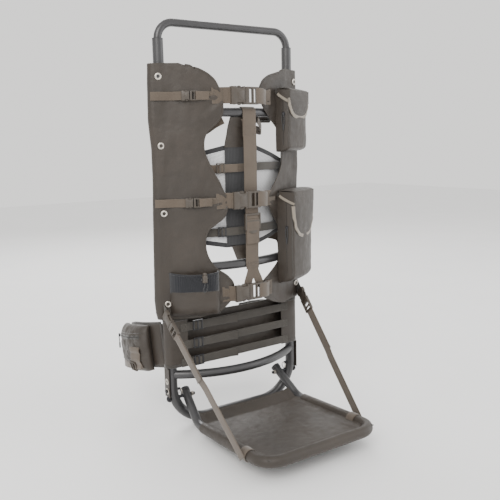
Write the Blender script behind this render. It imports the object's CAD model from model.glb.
"""Load-hauling pack frame: its cloth, webbing, buckles, pads, materials, lights and camera.

Shapes are worked out in millimetres in the frame's own plane: x to the right as seen from
the load side, y = 0 in the plane of the two uprights with the load towards -y, z up from
the floor. at() takes such a point to the shared frame, in metres.
"""
import math

import bpy
import numpy as np
from mathutils import Matrix, Vector, noise


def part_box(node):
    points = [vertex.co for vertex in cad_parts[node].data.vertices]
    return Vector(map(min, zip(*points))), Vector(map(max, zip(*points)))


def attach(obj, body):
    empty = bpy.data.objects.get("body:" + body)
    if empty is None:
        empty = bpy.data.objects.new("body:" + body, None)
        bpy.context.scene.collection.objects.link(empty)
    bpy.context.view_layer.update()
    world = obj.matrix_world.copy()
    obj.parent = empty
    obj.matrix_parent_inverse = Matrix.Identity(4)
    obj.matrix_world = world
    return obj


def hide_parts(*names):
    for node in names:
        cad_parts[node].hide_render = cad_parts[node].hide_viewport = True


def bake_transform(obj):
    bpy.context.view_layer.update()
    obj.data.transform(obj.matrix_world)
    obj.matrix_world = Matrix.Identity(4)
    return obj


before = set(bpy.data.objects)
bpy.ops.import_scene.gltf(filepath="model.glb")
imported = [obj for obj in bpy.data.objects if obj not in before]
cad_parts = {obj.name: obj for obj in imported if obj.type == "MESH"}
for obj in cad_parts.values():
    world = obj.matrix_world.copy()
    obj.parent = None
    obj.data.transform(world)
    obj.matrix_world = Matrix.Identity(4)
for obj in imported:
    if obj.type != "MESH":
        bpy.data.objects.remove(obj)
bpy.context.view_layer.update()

# ---------- driving sizes, taken from the frame ----------

MM = 0.001
left_low, left_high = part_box("left_upright")
right_low, right_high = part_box("right_upright")
bar_low, bar_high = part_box("upper_crossbar")
PLANE = (left_low.y + left_high.y) / 2 / MM
HALF_W = (right_low.x + right_high.x) / 2 / MM
TUBE_R = (right_high.x - right_low.x) / 2 / MM
BAR_R = (bar_high.z - bar_low.z) / 2 / MM
BOW_DEPTH = PLANE - bar_low.y / MM - BAR_R
BOW_R = (HALF_W**2 + BOW_DEPTH**2) / (2 * BOW_DEPTH)
BOW_Y = BOW_R - BOW_DEPTH
CLOTH_R = BOW_R + BAR_R + 1
WEB_T = 1.8


def middle_z(node):
    low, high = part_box(node)
    return (low.z + high.z) / 2 / MM


MIDDLE_BAR, UPPER_BAR = (middle_z(f"{name}_crossbar") for name in ("middle", "upper"))
LACE_Z = [middle_z(f"{name}_clip") for name in ("top", "middle", "bottom")]
PIN_Z = [103, 332, 555, 715]
OPEN_EYELET_Z = [128, 874]


def at(p):
    return (p[0] * MM, (p[1] + PLANE) * MM, p[2] * MM)


def bow(x, proud=0.0):
    """How far forward the bowed front surface lies at x, proud of the crossbars' cloth line."""
    return BOW_Y - math.sqrt((CLOTH_R + proud) ** 2 - x * x)


def on_bow(x, z, proud):
    """A local frame on the bow at x: local x along it, y up and z out towards the load."""
    turn = math.asin(x / (CLOTH_R + proud))
    c, s = math.cos(turn), math.sin(turn)
    return basis((c, s, 0), (0, 0, 1), (s, -c, 0), (x, bow(x, proud), z))


def basis(x, y, z, origin):
    m = Matrix((x, y, z)).transposed().to_4x4()
    m.translation = origin
    return m


# ---------- curves ----------


def smooth(points, steps=6, closed=False):
    """A smooth curve through all the points, with steps between each two."""
    pts = [np.array(p, float) for p in points]
    n = len(pts)
    out = []
    for i in range(n if closed else n - 1):
        if closed:
            a, b, c, d = (pts[(i + k) % n] for k in (-1, 0, 1, 2))
        else:
            a, b, c, d = pts[max(i - 1, 0)], pts[i], pts[i + 1], pts[min(i + 2, n - 1)]
        for k in range(steps):
            t = k / steps
            out.append(
                0.5 * (2 * b + (c - a) * t + (2 * a - 5 * b + 4 * c - d) * t * t
                       + (3 * b - a - 3 * c + d) * t**3)
            )
    if not closed:
        out.append(pts[-1])
    return out


def even(points, count):
    """The same line with count + 1 points at even distances."""
    pts = np.array(points, float)
    gone = np.concatenate([[0], np.cumsum(np.linalg.norm(np.diff(pts, axis=0), axis=1))])
    want = np.linspace(0, gone[-1], count + 1)
    return np.stack([np.interp(want, gone, pts[:, k]) for k in range(pts.shape[1])], axis=1)


def between(table, z):
    zs, xs = zip(*table)
    return float(np.interp(z, zs, xs))


def rounded(corners, radius, steps=4):
    """An outline with every corner rounded."""
    out = []
    n = len(corners)
    for i in range(n):
        p = np.array(corners[i], float)
        before = np.array(corners[i - 1], float) - p
        after = np.array(corners[(i + 1) % n], float) - p
        r = min(radius, np.linalg.norm(before) * 0.48, np.linalg.norm(after) * 0.48)
        a = p + before / np.linalg.norm(before) * r
        b = p + after / np.linalg.norm(after) * r
        for k in range(steps + 1):
            t = k / steps
            out.append((1 - t) ** 2 * a + 2 * t * (1 - t) * p + t * t * b)
    return out


def rectangle(x0, x1, y0, y1):
    return [(x0, y0), (x1, y0), (x1, y1), (x0, y1)]


def ripple(x, z, size, seed=0.0):
    """Smooth noise from -1 to 1 with features about size across."""
    return noise.noise(Vector((x / size, z / size, seed)))


# ---------- mesh parts: each is (vertices, faces, uvs, material) ----------


def sheet_part(point, across, along, thick, material, flip=False):
    """A sheet of cloth whose middle surface is point(u, v), for u and v from 0 to 1."""
    p = np.array([[point(i / across, j / along) for i in range(across + 1)]
                  for j in range(along + 1)], float)
    return grid_part(p, thick, material, flip)


def grid_normals(p, flip=False):
    normal = np.cross(np.gradient(p, axis=1), np.gradient(p, axis=0))
    normal /= np.maximum(np.linalg.norm(normal, axis=2, keepdims=True), 1e-9)
    return -normal if flip else normal


def grid_part(p, thick, material, flip=False):
    """Both faces and the rim of a sheet through a grid of points."""
    rows, cols = p.shape[:2]
    normal = grid_normals(p, flip)
    thick = np.asarray(thick, float)
    half = thick[..., None] / 2 if thick.ndim else thick / 2
    verts = np.concatenate([(p + normal * half).reshape(-1, 3), (p - normal * half).reshape(-1, 3)])
    u = np.cumsum(np.linalg.norm(np.diff(p, axis=1, prepend=p[:, :1]), axis=2), axis=1)
    v = np.cumsum(np.linalg.norm(np.diff(p, axis=0, prepend=p[:1]), axis=2), axis=0)
    uv = np.stack([u, v], axis=2).reshape(-1, 2) * MM
    n = rows * cols
    faces = []
    for j in range(rows - 1):
        for i in range(cols - 1):
            a = j * cols + i
            quad = (a, a + 1, a + cols + 1, a + cols)
            faces.append(quad[::-1] if flip else quad)
            back = tuple(k + n for k in quad)
            faces.append(back if flip else back[::-1])
    rim = [i for i in range(cols)] + [j * cols + cols - 1 for j in range(1, rows)]
    rim += [n - 1 - i for i in range(1, cols)] + [(rows - 1 - j) * cols for j in range(1, rows)]
    for a, b in zip(rim, rim[1:]):
        quad = (b, a, a + n, b + n)
        faces.append(quad[::-1] if flip else quad)
    return verts, faces, np.concatenate([uv, uv]), material


def directions(path):
    d = np.gradient(np.array(path, float), axis=0)
    return d / np.maximum(np.linalg.norm(d, axis=1, keepdims=True), 1e-9)


def swept(path, section, side, up, material, closed=False):
    """A section, given as (side, up) pairs round a ring, carried along a path."""
    path = np.array(path, float)
    k = len(section)
    n = len(path)
    verts = [path[i] + a * side[i] + b * up[i] for i in range(n) for a, b in section]
    gone = np.concatenate([[0], np.cumsum(np.linalg.norm(np.diff(path, axis=0), axis=1))])
    uv = [(a * MM, gone[i] * MM) for i in range(n) for a, b in section]
    faces = []
    for i in range(n if closed else n - 1):
        for j in range(k):
            a, b = i * k + j, i * k + (j + 1) % k
            c, d = ((i + 1) % n) * k + (j + 1) % k, ((i + 1) % n) * k + j
            faces.append((a, b, c, d))
    if not closed:
        faces.append(tuple(range(k))[::-1])
        faces.append(tuple((n - 1) * k + j for j in range(k)))
    return verts, faces, uv, material


def ribbon(path, across, width, thick, material, closed=False):
    """Flat webbing or tape along a path; across is its width's direction, one or one per point."""
    path = np.array(path, float)
    d = directions(path)
    across = np.broadcast_to(np.array(across, float), path.shape)
    up = np.cross(d, across)
    up /= np.maximum(np.linalg.norm(up, axis=1, keepdims=True), 1e-9)
    side = np.cross(up, d)
    w, t = width / 2, thick / 2
    edge = min(t * 1.2, w * 0.3)
    top = [(-w, -t * 0.3), (-w, t * 0.3), (-w + edge * 0.5, t * 0.85), (-w + edge, t),
           (-w * 0.35, t), (w * 0.35, t), (w - edge, t), (w - edge * 0.5, t * 0.85)]
    section = top + [(-a, -b) for a, b in top]
    return swept(path, section[::-1], side, up, material, closed)


def cord_part(path, r, material, closed=False, sides=10, flat=1.0):
    """A round cord or piping along a path."""
    path = np.array(path, float)
    d = directions(path)
    up = np.zeros_like(path)
    start = np.cross(d[0], (0.3, 0.5, 0.8))
    up[0] = start / np.linalg.norm(start)
    for i in range(1, len(path)):
        u = up[i - 1] - d[i] * np.dot(up[i - 1], d[i])
        up[i] = u / max(np.linalg.norm(u), 1e-9)
    side = np.cross(d, up)
    turns = [2 * math.pi * k / sides for k in range(sides)]
    section = [(r * math.cos(t), r * flat * math.sin(t)) for t in turns]
    return swept(path, section, side, up, material, closed)


def slab(outline, z0, z1, bevel, material, m=Matrix()):
    """A flat piece with rounded edges, its outline in local x and y, from z0 to z1."""
    line = np.array(outline, float)
    ahead, behind = np.roll(line, -1, axis=0), np.roll(line, 1, axis=0)
    d = ahead - behind
    inward = np.stack([-d[:, 1], d[:, 0]], axis=1)
    inward /= np.maximum(np.linalg.norm(inward, axis=1, keepdims=True), 1e-9)
    if np.sum(line[:, 0] * ahead[:, 1] - ahead[:, 0] * line[:, 1]) < 0:
        line, inward = line[::-1], -inward[::-1]
    rings = []
    for k in range(3):
        turn = math.pi / 2 * k / 2
        rings.append((bevel * (1 - math.sin(turn)), z0 + bevel * (1 - math.cos(turn))))
    rings += [(inset, z0 + z1 - z) for inset, z in rings[::-1]]
    verts = []
    n = len(line)
    for inset, z in rings:
        verts += [m @ Vector((*(line[i] + inward[i] * inset), z)) for i in range(n)]
    faces = [tuple(range(n))[::-1], tuple(range(len(verts) - n, len(verts)))]
    for r in range(len(rings) - 1):
        for i in range(n):
            a, b = r * n + i, r * n + (i + 1) % n
            faces.append((a, b, b + n, a + n))
    if m.to_3x3().determinant() < 0:
        faces = [f[::-1] for f in faces]
    uv = [(v[0] * MM, v[2] * MM) for v in verts]
    return verts, faces, uv, material


def bar(x0, x1, y0, y1, z0, z1, material, m, bevel=1.0):
    bevel = min(bevel, (z1 - z0) * 0.45, (x1 - x0) * 0.4, (y1 - y0) * 0.4)
    return slab(rounded(rectangle(x0, x1, y0, y1), bevel * 1.5, 3), z0, z1, bevel, material, m)


def lathe(profile, m, material, sides=28):
    """A turned piece: profile is (radius, height) pairs from the bottom up, about local z."""
    verts, faces = [], []
    n = len(profile)
    for k in range(sides):
        t = 2 * math.pi * k / sides
        verts += [m @ Vector((r * math.cos(t), r * math.sin(t), z)) for r, z in profile]
    for k in range(sides):
        for j in range(n - 1):
            a, b = k * n + j, ((k + 1) % sides) * n + j
            faces.append((a, b, b + 1, a + 1))
    if m.to_3x3().determinant() < 0:
        faces = [f[::-1] for f in faces]
    uv = [(v[0] * MM, v[2] * MM) for v in verts]
    return verts, faces, uv, material


def stitches(path, out, material, pitch=4.6, length=3.1, r=0.42):
    """A row of thread stitches along a path, standing a little out of the cloth."""
    pts = even(path, max(2, round(path_length(path) / pitch)))
    out = np.broadcast_to(np.array(out, float), np.array(path).shape)
    normals = even_values(path, out, len(pts))
    verts, faces = [], []
    for p, q, n in zip(pts, pts[1:], normals):
        d = (q - p) / max(np.linalg.norm(q - p), 1e-9)
        w = np.cross(d, n)
        mid = (p + q) / 2
        k = len(verts)
        a, b = mid - d * length / 2, mid + d * length / 2
        verts += [a, b, mid + n * r, mid - n * r, mid + w * r, mid - w * r]
        for x, y in ((2, 4), (4, 3), (3, 5), (5, 2)):
            faces += [(k, k + x, k + y), (k + 1, k + y, k + x)]
    return verts, faces, [(0, 0)] * len(verts), material


def path_length(path):
    return float(np.sum(np.linalg.norm(np.diff(np.array(path, float), axis=0), axis=1)))


def even_values(path, values, count):
    steps = np.linalg.norm(np.diff(np.array(path, float), axis=0), axis=1)
    gone = np.concatenate([[0], np.cumsum(steps)])
    want = np.linspace(0, gone[-1], count)
    return np.stack([np.interp(want, gone, values[:, k]) for k in range(3)], axis=1)


def piece(name, parts, body="frame", replaces=(), smooth_angle=40):
    """One Blender object made of the parts, riding on a body."""
    verts, faces, uvs, kinds, used = [], [], [], [], []
    for v, f, uv, material in parts:
        start = len(verts)
        verts += [at(p) for p in v]
        uvs += [tuple(t) for t in uv]
        if material not in used:
            used.append(material)
        faces += [tuple(int(i) + start for i in face) for face in f]
        kinds += [used.index(material)] * len(f)
    mesh = bpy.data.meshes.new(name)
    mesh.from_pydata(verts, [], faces)
    layer = mesh.uv_layers.new(name="weave")
    corner = np.array([uvs[loop.vertex_index] for loop in mesh.loops], np.float32)
    layer.data.foreach_set("uv", corner.ravel())
    for material in used:
        mesh.materials.append(material)
    mesh.polygons.foreach_set("material_index", kinds)
    mesh.update()
    mesh.shade_smooth()
    mesh.set_sharp_from_angle(angle=math.radians(smooth_angle))
    obj = bpy.data.objects.new(name, mesh)
    bpy.context.scene.collection.objects.link(obj)
    if body:
        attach(obj, body)
    if replaces:
        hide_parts(*replaces)
    return obj


# ---------- materials ----------


def new_material(name, metallic=0.0, coat=0.0, sheen=0.0, specular=0.5):
    """A principled material with no colour, roughness or bump linked yet."""
    material = bpy.data.materials.new(name)
    material.use_nodes = True
    nodes = material.node_tree.nodes
    shader = nodes["Principled BSDF"]
    shader.inputs["Metallic"].default_value = metallic
    shader.inputs["Coat Weight"].default_value = coat
    shader.inputs["Coat Roughness"].default_value = 0.25
    shader.inputs["Sheen Weight"].default_value = sheen
    shader.inputs["Specular IOR Level"].default_value = specular
    return material, nodes, material.node_tree.links, shader


def add(nodes, kind, **values):
    """A node; keywords set its properties, or its inputs where the name is an input's."""
    node = nodes.new(kind)
    for key, value in values.items():
        name = key.replace("_", " ")
        if name in node.inputs:
            node.inputs[name].default_value = value
        else:
            setattr(node, key, value)
    return node


def ramp(nodes, links, source, stops):
    node = nodes.new("ShaderNodeValToRGB")
    elements = node.color_ramp.elements
    while len(elements) < len(stops):
        elements.new(0.5)
    for element, (place, colour) in zip(elements, stops):
        element.position = place
        element.color = (*colour, 1) if len(colour) == 3 else (colour[0],) * 3 + (1,)
    links.new(source, node.inputs[0])
    return node.outputs[0]


def shade(colour, k):
    return tuple(min(1.0, c * k) for c in colour)


def mix_colours(nodes, links, kind, factor, a, b):
    node = nodes.new("ShaderNodeMix")
    node.data_type = "RGBA"
    node.blend_type = kind
    node.inputs[0].default_value = factor
    links.new(a, node.inputs[6])
    links.new(b, node.inputs[7])
    return node.outputs[2]


def bump(nodes, links, shader, height, strength, distance, before=None):
    node = add(nodes, "ShaderNodeBump", Strength=strength, Distance=distance)
    links.new(height, node.inputs["Height"])
    if before is not None:
        links.new(before, node.inputs["Normal"])
    links.new(node.outputs[0], shader.inputs["Normal"])
    return node.outputs[0]


def cloth_material(name, colour, gloss=0.46, thread=0.0011, sheen=0.25):
    """Coated nylon pack cloth: a fine plain weave, soft creases and slightly uneven colour."""
    material, nodes, links, shader = new_material(name, sheen=sheen, specular=0.45)
    place = nodes.new("ShaderNodeTexCoord").outputs["Object"]
    scale = 2 * math.pi / (20 * thread)
    height = None
    for direction in ("X", "Y", "Z"):
        wave = add(nodes, "ShaderNodeTexWave", bands_direction=direction, Scale=scale,
                   Distortion=0.6, Detail=1.0)
        links.new(place, wave.inputs["Vector"])
        if height is None:
            height = wave.outputs["Color"]
        else:
            height = mix_colours(nodes, links, "MULTIPLY", 0.6, height, wave.outputs["Color"])
    crease = add(nodes, "ShaderNodeTexNoise", Scale=55.0, Detail=5.0, Roughness=0.6)
    cloud = add(nodes, "ShaderNodeTexNoise", Scale=9.0, Detail=3.0)
    for node in (crease, cloud):
        links.new(place, node.inputs["Vector"])
    broad = ramp(nodes, links, cloud.outputs["Fac"],
                 [(0.3, shade(colour, 0.82)), (0.7, shade(colour, 1.16))])
    weave = ramp(nodes, links, height, [(0.0, (0.8,)), (0.7, (1.0,))])
    tone = mix_colours(nodes, links, "MULTIPLY", 0.7, broad, weave)
    worn = ramp(nodes, links, crease.outputs["Fac"], [(0.35, (0.9,)), (0.75, (1.12,))])
    links.new(mix_colours(nodes, links, "MULTIPLY", 0.8, tone, worn), shader.inputs["Base Color"])
    rough = ramp(nodes, links, crease.outputs["Fac"],
                 [(0.3, (gloss - 0.07,)), (0.7, (gloss + 0.12,))])
    links.new(rough, shader.inputs["Roughness"])
    soft = bump(nodes, links, shader, crease.outputs["Fac"], 0.35, 0.003)
    bump(nodes, links, shader, height, 0.3, 0.0003, soft)
    return material


def webbing_material(name, colour, rib=0.0017, edge=0.0031):
    """Woven webbing: ribs across it and chevron columns along it, from the piece's own map."""
    material, nodes, links, shader = new_material(name, sheen=0.35, specular=0.35)
    coords = nodes.new("ShaderNodeTexCoord")
    across = add(nodes, "ShaderNodeTexWave", bands_direction="Y",
                 Scale=2 * math.pi / (20 * rib), Distortion=0.8, Detail=0.0)
    columns = add(nodes, "ShaderNodeTexWave", bands_direction="X",
                  Scale=2 * math.pi / (20 * edge), Distortion=0.3, Detail=0.0)
    twill = add(nodes, "ShaderNodeTexWave", bands_direction="DIAGONAL",
                Scale=2 * math.pi / (20 * rib), Distortion=0.4)
    for node in (across, columns, twill):
        links.new(coords.outputs["UV"], node.inputs["Vector"])
    fuzz = add(nodes, "ShaderNodeTexNoise", Scale=900.0, Detail=2.0)
    dirt = add(nodes, "ShaderNodeTexNoise", Scale=22.0, Detail=4.0)
    for node in (fuzz, dirt):
        links.new(coords.outputs["Object"], node.inputs["Vector"])
    ribs = mix_colours(nodes, links, "MULTIPLY", 0.55, across.outputs["Color"],
                       columns.outputs["Color"])
    ribs = mix_colours(nodes, links, "MIX", 0.3, ribs, twill.outputs["Color"])
    height = mix_colours(nodes, links, "MIX", 0.18, ribs, fuzz.outputs["Color"])
    threads = ramp(nodes, links, height, [(0.1, shade(colour, 0.62)), (0.65, shade(colour, 1.15))])
    tone = ramp(nodes, links, dirt.outputs["Fac"], [(0.3, (0.86,)), (0.7, (1.08,))])
    links.new(mix_colours(nodes, links, "MULTIPLY", 0.9, threads, tone),
              shader.inputs["Base Color"])
    links.new(ramp(nodes, links, height, [(0.0, (0.9,)), (1.0, (0.62,))]),
              shader.inputs["Roughness"])
    bump(nodes, links, shader, height, 0.55, 0.0005)
    return material


def plastic_material(name, colour, gloss=0.42):
    """Moulded acetal: a satin face with a fine spark texture and rubbed patches."""
    material, nodes, links, shader = new_material(name, specular=0.5, coat=0.08)
    place = nodes.new("ShaderNodeTexCoord").outputs["Object"]
    grain = add(nodes, "ShaderNodeTexNoise", Scale=1500.0, Detail=2.0)
    rub = add(nodes, "ShaderNodeTexNoise", Scale=75.0, Detail=4.0, Roughness=0.65)
    for node in (grain, rub):
        links.new(place, node.inputs["Vector"])
    tone = ramp(nodes, links, rub.outputs["Fac"],
                [(0.32, shade(colour, 0.88)), (0.6, colour), (0.78, shade(colour, 1.25))])
    links.new(tone, shader.inputs["Base Color"])
    rough = ramp(nodes, links, rub.outputs["Fac"],
                 [(0.3, (gloss + 0.12,)), (0.75, (gloss - 0.08,))])
    links.new(rough, shader.inputs["Roughness"])
    bump(nodes, links, shader, grain.outputs["Fac"], 0.22, 0.0002)
    return material


def coated_metal(name, colour):
    """Powder-coated aluminium tube: fine orange peel, long faint rubs and small bright chips."""
    material, nodes, links, shader = new_material(name, metallic=0.55, coat=0.3, specular=0.5)
    place = nodes.new("ShaderNodeTexCoord").outputs["Object"]
    peel = add(nodes, "ShaderNodeTexNoise", Scale=1100.0, Detail=3.0)
    rub = add(nodes, "ShaderNodeTexNoise", Scale=26.0, Detail=6.0, Roughness=0.7)
    chips = add(nodes, "ShaderNodeTexVoronoi", Scale=95.0, Randomness=1.0)
    for node in (peel, rub, chips):
        links.new(place, node.inputs["Vector"])
    base = ramp(nodes, links, rub.outputs["Fac"],
                [(0.3, shade(colour, 0.86)), (0.62, colour), (0.8, shade(colour, 1.35))])
    spots = ramp(nodes, links, chips.outputs["Distance"], [(0.0, (2.2,)), (0.045, (1.0,))])
    links.new(mix_colours(nodes, links, "MULTIPLY", 1.0, base, spots), shader.inputs["Base Color"])
    links.new(ramp(nodes, links, rub.outputs["Fac"], [(0.3, (0.46,)), (0.75, (0.3,))]),
              shader.inputs["Roughness"])
    bump(nodes, links, shader, peel.outputs["Fac"], 0.15, 0.0002)
    return material


def bare_metal(name, colour, gloss=0.25):
    """Plated or blackened steel with fine turning marks and dull spots."""
    material, nodes, links, shader = new_material(name, metallic=1.0)
    place = nodes.new("ShaderNodeTexCoord").outputs["Object"]
    marks = add(nodes, "ShaderNodeTexNoise", Scale=420.0, Detail=4.0)
    spots = add(nodes, "ShaderNodeTexNoise", Scale=120.0, Detail=5.0)
    for node in (marks, spots):
        links.new(place, node.inputs["Vector"])
    stops = [(0.3, shade(colour, 0.75)), (0.7, shade(colour, 1.08))]
    links.new(ramp(nodes, links, spots.outputs["Fac"], stops),
              shader.inputs["Base Color"])
    links.new(ramp(nodes, links, marks.outputs["Fac"], [(0.3, (gloss,)), (0.75, (gloss + 0.2,))]),
              shader.inputs["Roughness"])
    bump(nodes, links, shader, marks.outputs["Fac"], 0.1, 0.0002)
    return material


def mesh_material(name, colour, hole, cell=0.0034):
    """Knitted spacer mesh: rows of small round holes between rounded yarn walls."""
    material, nodes, links, shader = new_material(name, sheen=0.3, specular=0.3)
    coords = nodes.new("ShaderNodeTexCoord")
    holes = add(nodes, "ShaderNodeTexVoronoi", Scale=1 / cell, Randomness=0.12)
    yarn = add(nodes, "ShaderNodeTexNoise", Scale=700.0, Detail=2.0)
    cloud = add(nodes, "ShaderNodeTexNoise", Scale=14.0, Detail=3.0)
    links.new(coords.outputs["UV"], holes.inputs["Vector"])
    for node in (yarn, cloud):
        links.new(coords.outputs["Object"], node.inputs["Vector"])
    pattern = ramp(nodes, links, holes.outputs["Distance"],
                   [(0.18, hole), (0.34, shade(colour, 0.85)), (0.6, colour)])
    tone = ramp(nodes, links, cloud.outputs["Fac"], [(0.3, (0.88,)), (0.7, (1.04,))])
    links.new(mix_colours(nodes, links, "MULTIPLY", 1.0, pattern, tone),
              shader.inputs["Base Color"])
    shader.inputs["Roughness"].default_value = 0.85
    height = mix_colours(nodes, links, "MIX", 0.15, holes.outputs["Distance"],
                         yarn.outputs["Color"])
    bump(nodes, links, shader, height, 0.7, 0.0012)
    return material


def knit_material(name, colour, rib=0.0022):
    """Ribbed elastic or grosgrain: close ribs along one way of the piece's own map."""
    material, nodes, links, shader = new_material(name, sheen=0.4, specular=0.3)
    coords = nodes.new("ShaderNodeTexCoord")
    ribs = add(nodes, "ShaderNodeTexWave", bands_direction="X",
               Scale=2 * math.pi / (20 * rib), Distortion=0.5)
    rows = add(nodes, "ShaderNodeTexWave", bands_direction="Y",
               Scale=2 * math.pi / (20 * rib * 0.6), Distortion=0.5)
    for node in (ribs, rows):
        links.new(coords.outputs["UV"], node.inputs["Vector"])
    height = mix_colours(nodes, links, "MULTIPLY", 0.5, ribs.outputs["Color"],
                         rows.outputs["Color"])
    links.new(ramp(nodes, links, height, [(0.1, shade(colour, 0.6)), (0.8, shade(colour, 1.25))]),
              shader.inputs["Base Color"])
    shader.inputs["Roughness"].default_value = 0.8
    bump(nodes, links, shader, height, 0.5, 0.0006)
    return material


CLOTH = cloth_material("pack_cloth", (0.035, 0.027, 0.0205), sheen=0.04)
CLOTH_DARK = cloth_material("pack_cloth_dark", (0.03, 0.027, 0.023), gloss=0.55)
BINDING = knit_material("edge_binding", (0.04, 0.035, 0.03))
TAN_BINDING = knit_material("flap_binding", (0.26, 0.225, 0.18))
WEBBING = webbing_material("webbing", (0.096, 0.074, 0.055))
DARK_WEBBING = webbing_material("dark_webbing", (0.05, 0.044, 0.037))
BLACK_WEBBING = webbing_material("black_webbing", (0.022, 0.022, 0.024))
PLASTIC = plastic_material("buckle_plastic", (0.055, 0.044, 0.034))
BLACK_PLASTIC = plastic_material("black_plastic", (0.018, 0.018, 0.02))
TUBE = coated_metal("tube_metal", (0.055, 0.054, 0.056))
BLACK_STEEL = bare_metal("black_steel", (0.05, 0.05, 0.055), gloss=0.38)
NICKEL = bare_metal("nickel", (0.62, 0.58, 0.52))
STRETCH = knit_material("stretch_knit", (0.012, 0.013, 0.017))
RIBBED = knit_material("spine_grosgrain", (0.03, 0.03, 0.032), rib=0.004)
MESH = mesh_material("spacer_mesh", (0.66, 0.66, 0.67), (0.2, 0.2, 0.21))
THREAD = knit_material("thread", (0.16, 0.142, 0.118), rib=0.001)
ZIP_TEETH = plastic_material("zip_teeth", (0.03, 0.028, 0.026), gloss=0.35)


# ---------- camera, floor and light ----------


def make_camera():
    data = bpy.data.cameras.new("camera")
    data.lens = 45.95
    data.sensor_width = 36.0
    camera = bpy.data.objects.new("camera", data)
    turn, rise, roll = (math.radians(a) for a in (-32.935, 9.4345, -1.278))
    back = Vector((math.sin(turn) * math.cos(rise), -math.cos(turn) * math.cos(rise),
                   math.sin(rise)))
    right = Vector((math.cos(turn), math.sin(turn), 0))
    up = back.cross(right)
    x = right * math.cos(roll) + up * math.sin(roll)
    y = up * math.cos(roll) - right * math.sin(roll)
    camera.matrix_world = basis(x, y, back, (-0.8524, -1.3639, 0.7152))
    bpy.context.scene.collection.objects.link(camera)
    bpy.context.scene.camera = camera


def floor_material():
    material, nodes, links, shader = new_material("floor", specular=0.3)
    place = nodes.new("ShaderNodeTexCoord").outputs["Object"]
    cloud = add(nodes, "ShaderNodeTexNoise", Scale=3.0, Detail=3.0)
    links.new(place, cloud.inputs["Vector"])
    links.new(ramp(nodes, links, cloud.outputs["Fac"], [(0.3, (0.88,)), (0.7, (0.9,))]),
              shader.inputs["Base Color"])
    shader.inputs["Roughness"].default_value = 0.7
    return material


def make_stage():
    bpy.ops.mesh.primitive_grid_add(x_subdivisions=4, y_subdivisions=4, size=14)
    floor = bpy.context.object
    floor.name = "floor"
    floor.data.materials.append(floor_material())
    world = bpy.data.worlds.new("studio")
    bpy.context.scene.world = world
    world.use_nodes = True
    world.node_tree.nodes["Background"].inputs[0].default_value = (1.0, 0.99, 0.97, 1)
    world.node_tree.nodes["Background"].inputs[1].default_value = 1.3
    lamps = [
        ("key", (-2.2, -2.0, 2.6), 2.2, 95, (1.0, 0.98, 0.95)),
        ("fill", (2.6, -1.6, 1.4), 2.4, 32, (0.95, 0.97, 1.0)),
        ("rim", (0.8, 2.6, 2.4), 2.0, 60, (1.0, 1.0, 1.0)),
    ]
    for name, place, size, power, colour in lamps:
        data = bpy.data.lights.new(name, "AREA")
        data.size = size
        data.energy = power
        data.color = colour
        lamp = bpy.data.objects.new(name, data)
        lamp.location = place
        aim = Vector((0, 0, 0.5)) - Vector(place)
        lamp.rotation_euler = aim.to_track_quat("-Z", "Y").to_euler()
        bpy.context.scene.collection.objects.link(lamp)


make_camera()
make_stage()


# ---------- metal frame ----------


def finish_nodes(material, slot, *names):
    """Give CAD nodes that are right in shape their material."""
    for name in names:
        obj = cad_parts[name]
        obj.data.materials.clear()
        obj.data.materials.append(material)


finish_nodes(TUBE, "tube_metal", "left_upright", "right_upright", "bottom_bend",
             "upper_crossbar", "middle_crossbar", "lower_crossbar", "top_hoop")
finish_nodes(BLACK_PLASTIC, "black_plastic", "hoop_bushings")
finish_nodes(BLACK_STEEL, "black_steel", "hinge_bolts", "clevis_pins")
finish_nodes(NICKEL, "nickel", "hinge_nuts", "split_rings")


def outward(side, x, y, z):
    """A local frame on an upright's outer side: local z points outwards."""
    return basis((0, -side, 0), (0, 0, 1), (side, 0, 0), (side * x, y, z)) if side > 0 else basis(
        (0, 1, 0), (0, 0, 1), (-1, 0, 0), (-x, y, z))


EYELET = [(4.2, -0.6), (4.0, 0.3), (4.5, 1.1), (5.6, 1.5), (7.0, 1.3), (8.0, 0.6), (8.3, 0.0),
          (8.1, -0.5)]
BOLT_HEAD = [(9.0, -0.2), (9.1, 0.8), (8.6, 1.3), (6.8, 1.4), (6.7, 3.6), (5.8, 5.4), (4.0, 6.2),
             (3.2, 6.2), (3.0, 3.4), (0.0, 3.2)]


EYELET_X, EYELET_Y = 196, -18.4  # on the loose sleeve's front, clear of the pins inside it
TAB_EYELET_OUT = 14.8            # how far outside an upright's middle a lower tab's eyelet lies
FACING_OUT, FACING_FRONT = 0.31, 0.95


def make_eyelets():
    """Rolled eyelets in the cloth's edge at each pin and hole; the open ones have a dark hollow."""
    parts = []
    for side in (-1, 1):
        for z in PIN_Z + OPEN_EYELET_Z:
            if z > 160:
                along = (FACING_FRONT, side * FACING_OUT, 0)
                out = (side * FACING_OUT, -FACING_FRONT, 0)
                m = basis(along, (0, 0, 1), out, (side * EYELET_X, EYELET_Y, z))
            else:
                m = outward(side, HALF_W + TAB_EYELET_OUT, 0, z)
            parts.append(lathe(EYELET, m, NICKEL))
            if z in OPEN_EYELET_Z:
                parts.append(lathe([(4.2, 0.1), (3.0, -0.2), (0.0, -0.3)], m, BLACK_PLASTIC))
    piece("eyelets", parts, replaces=["grommets"])


def make_bolt_heads():
    parts = [lathe(BOLT_HEAD, outward(side, 195.4, 0, 81), BLACK_STEEL) for side in (-1, 1)]
    piece("hinge_bolt_heads", parts)


make_eyelets()
make_bolt_heads()

# ---------- side panels ----------

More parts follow.
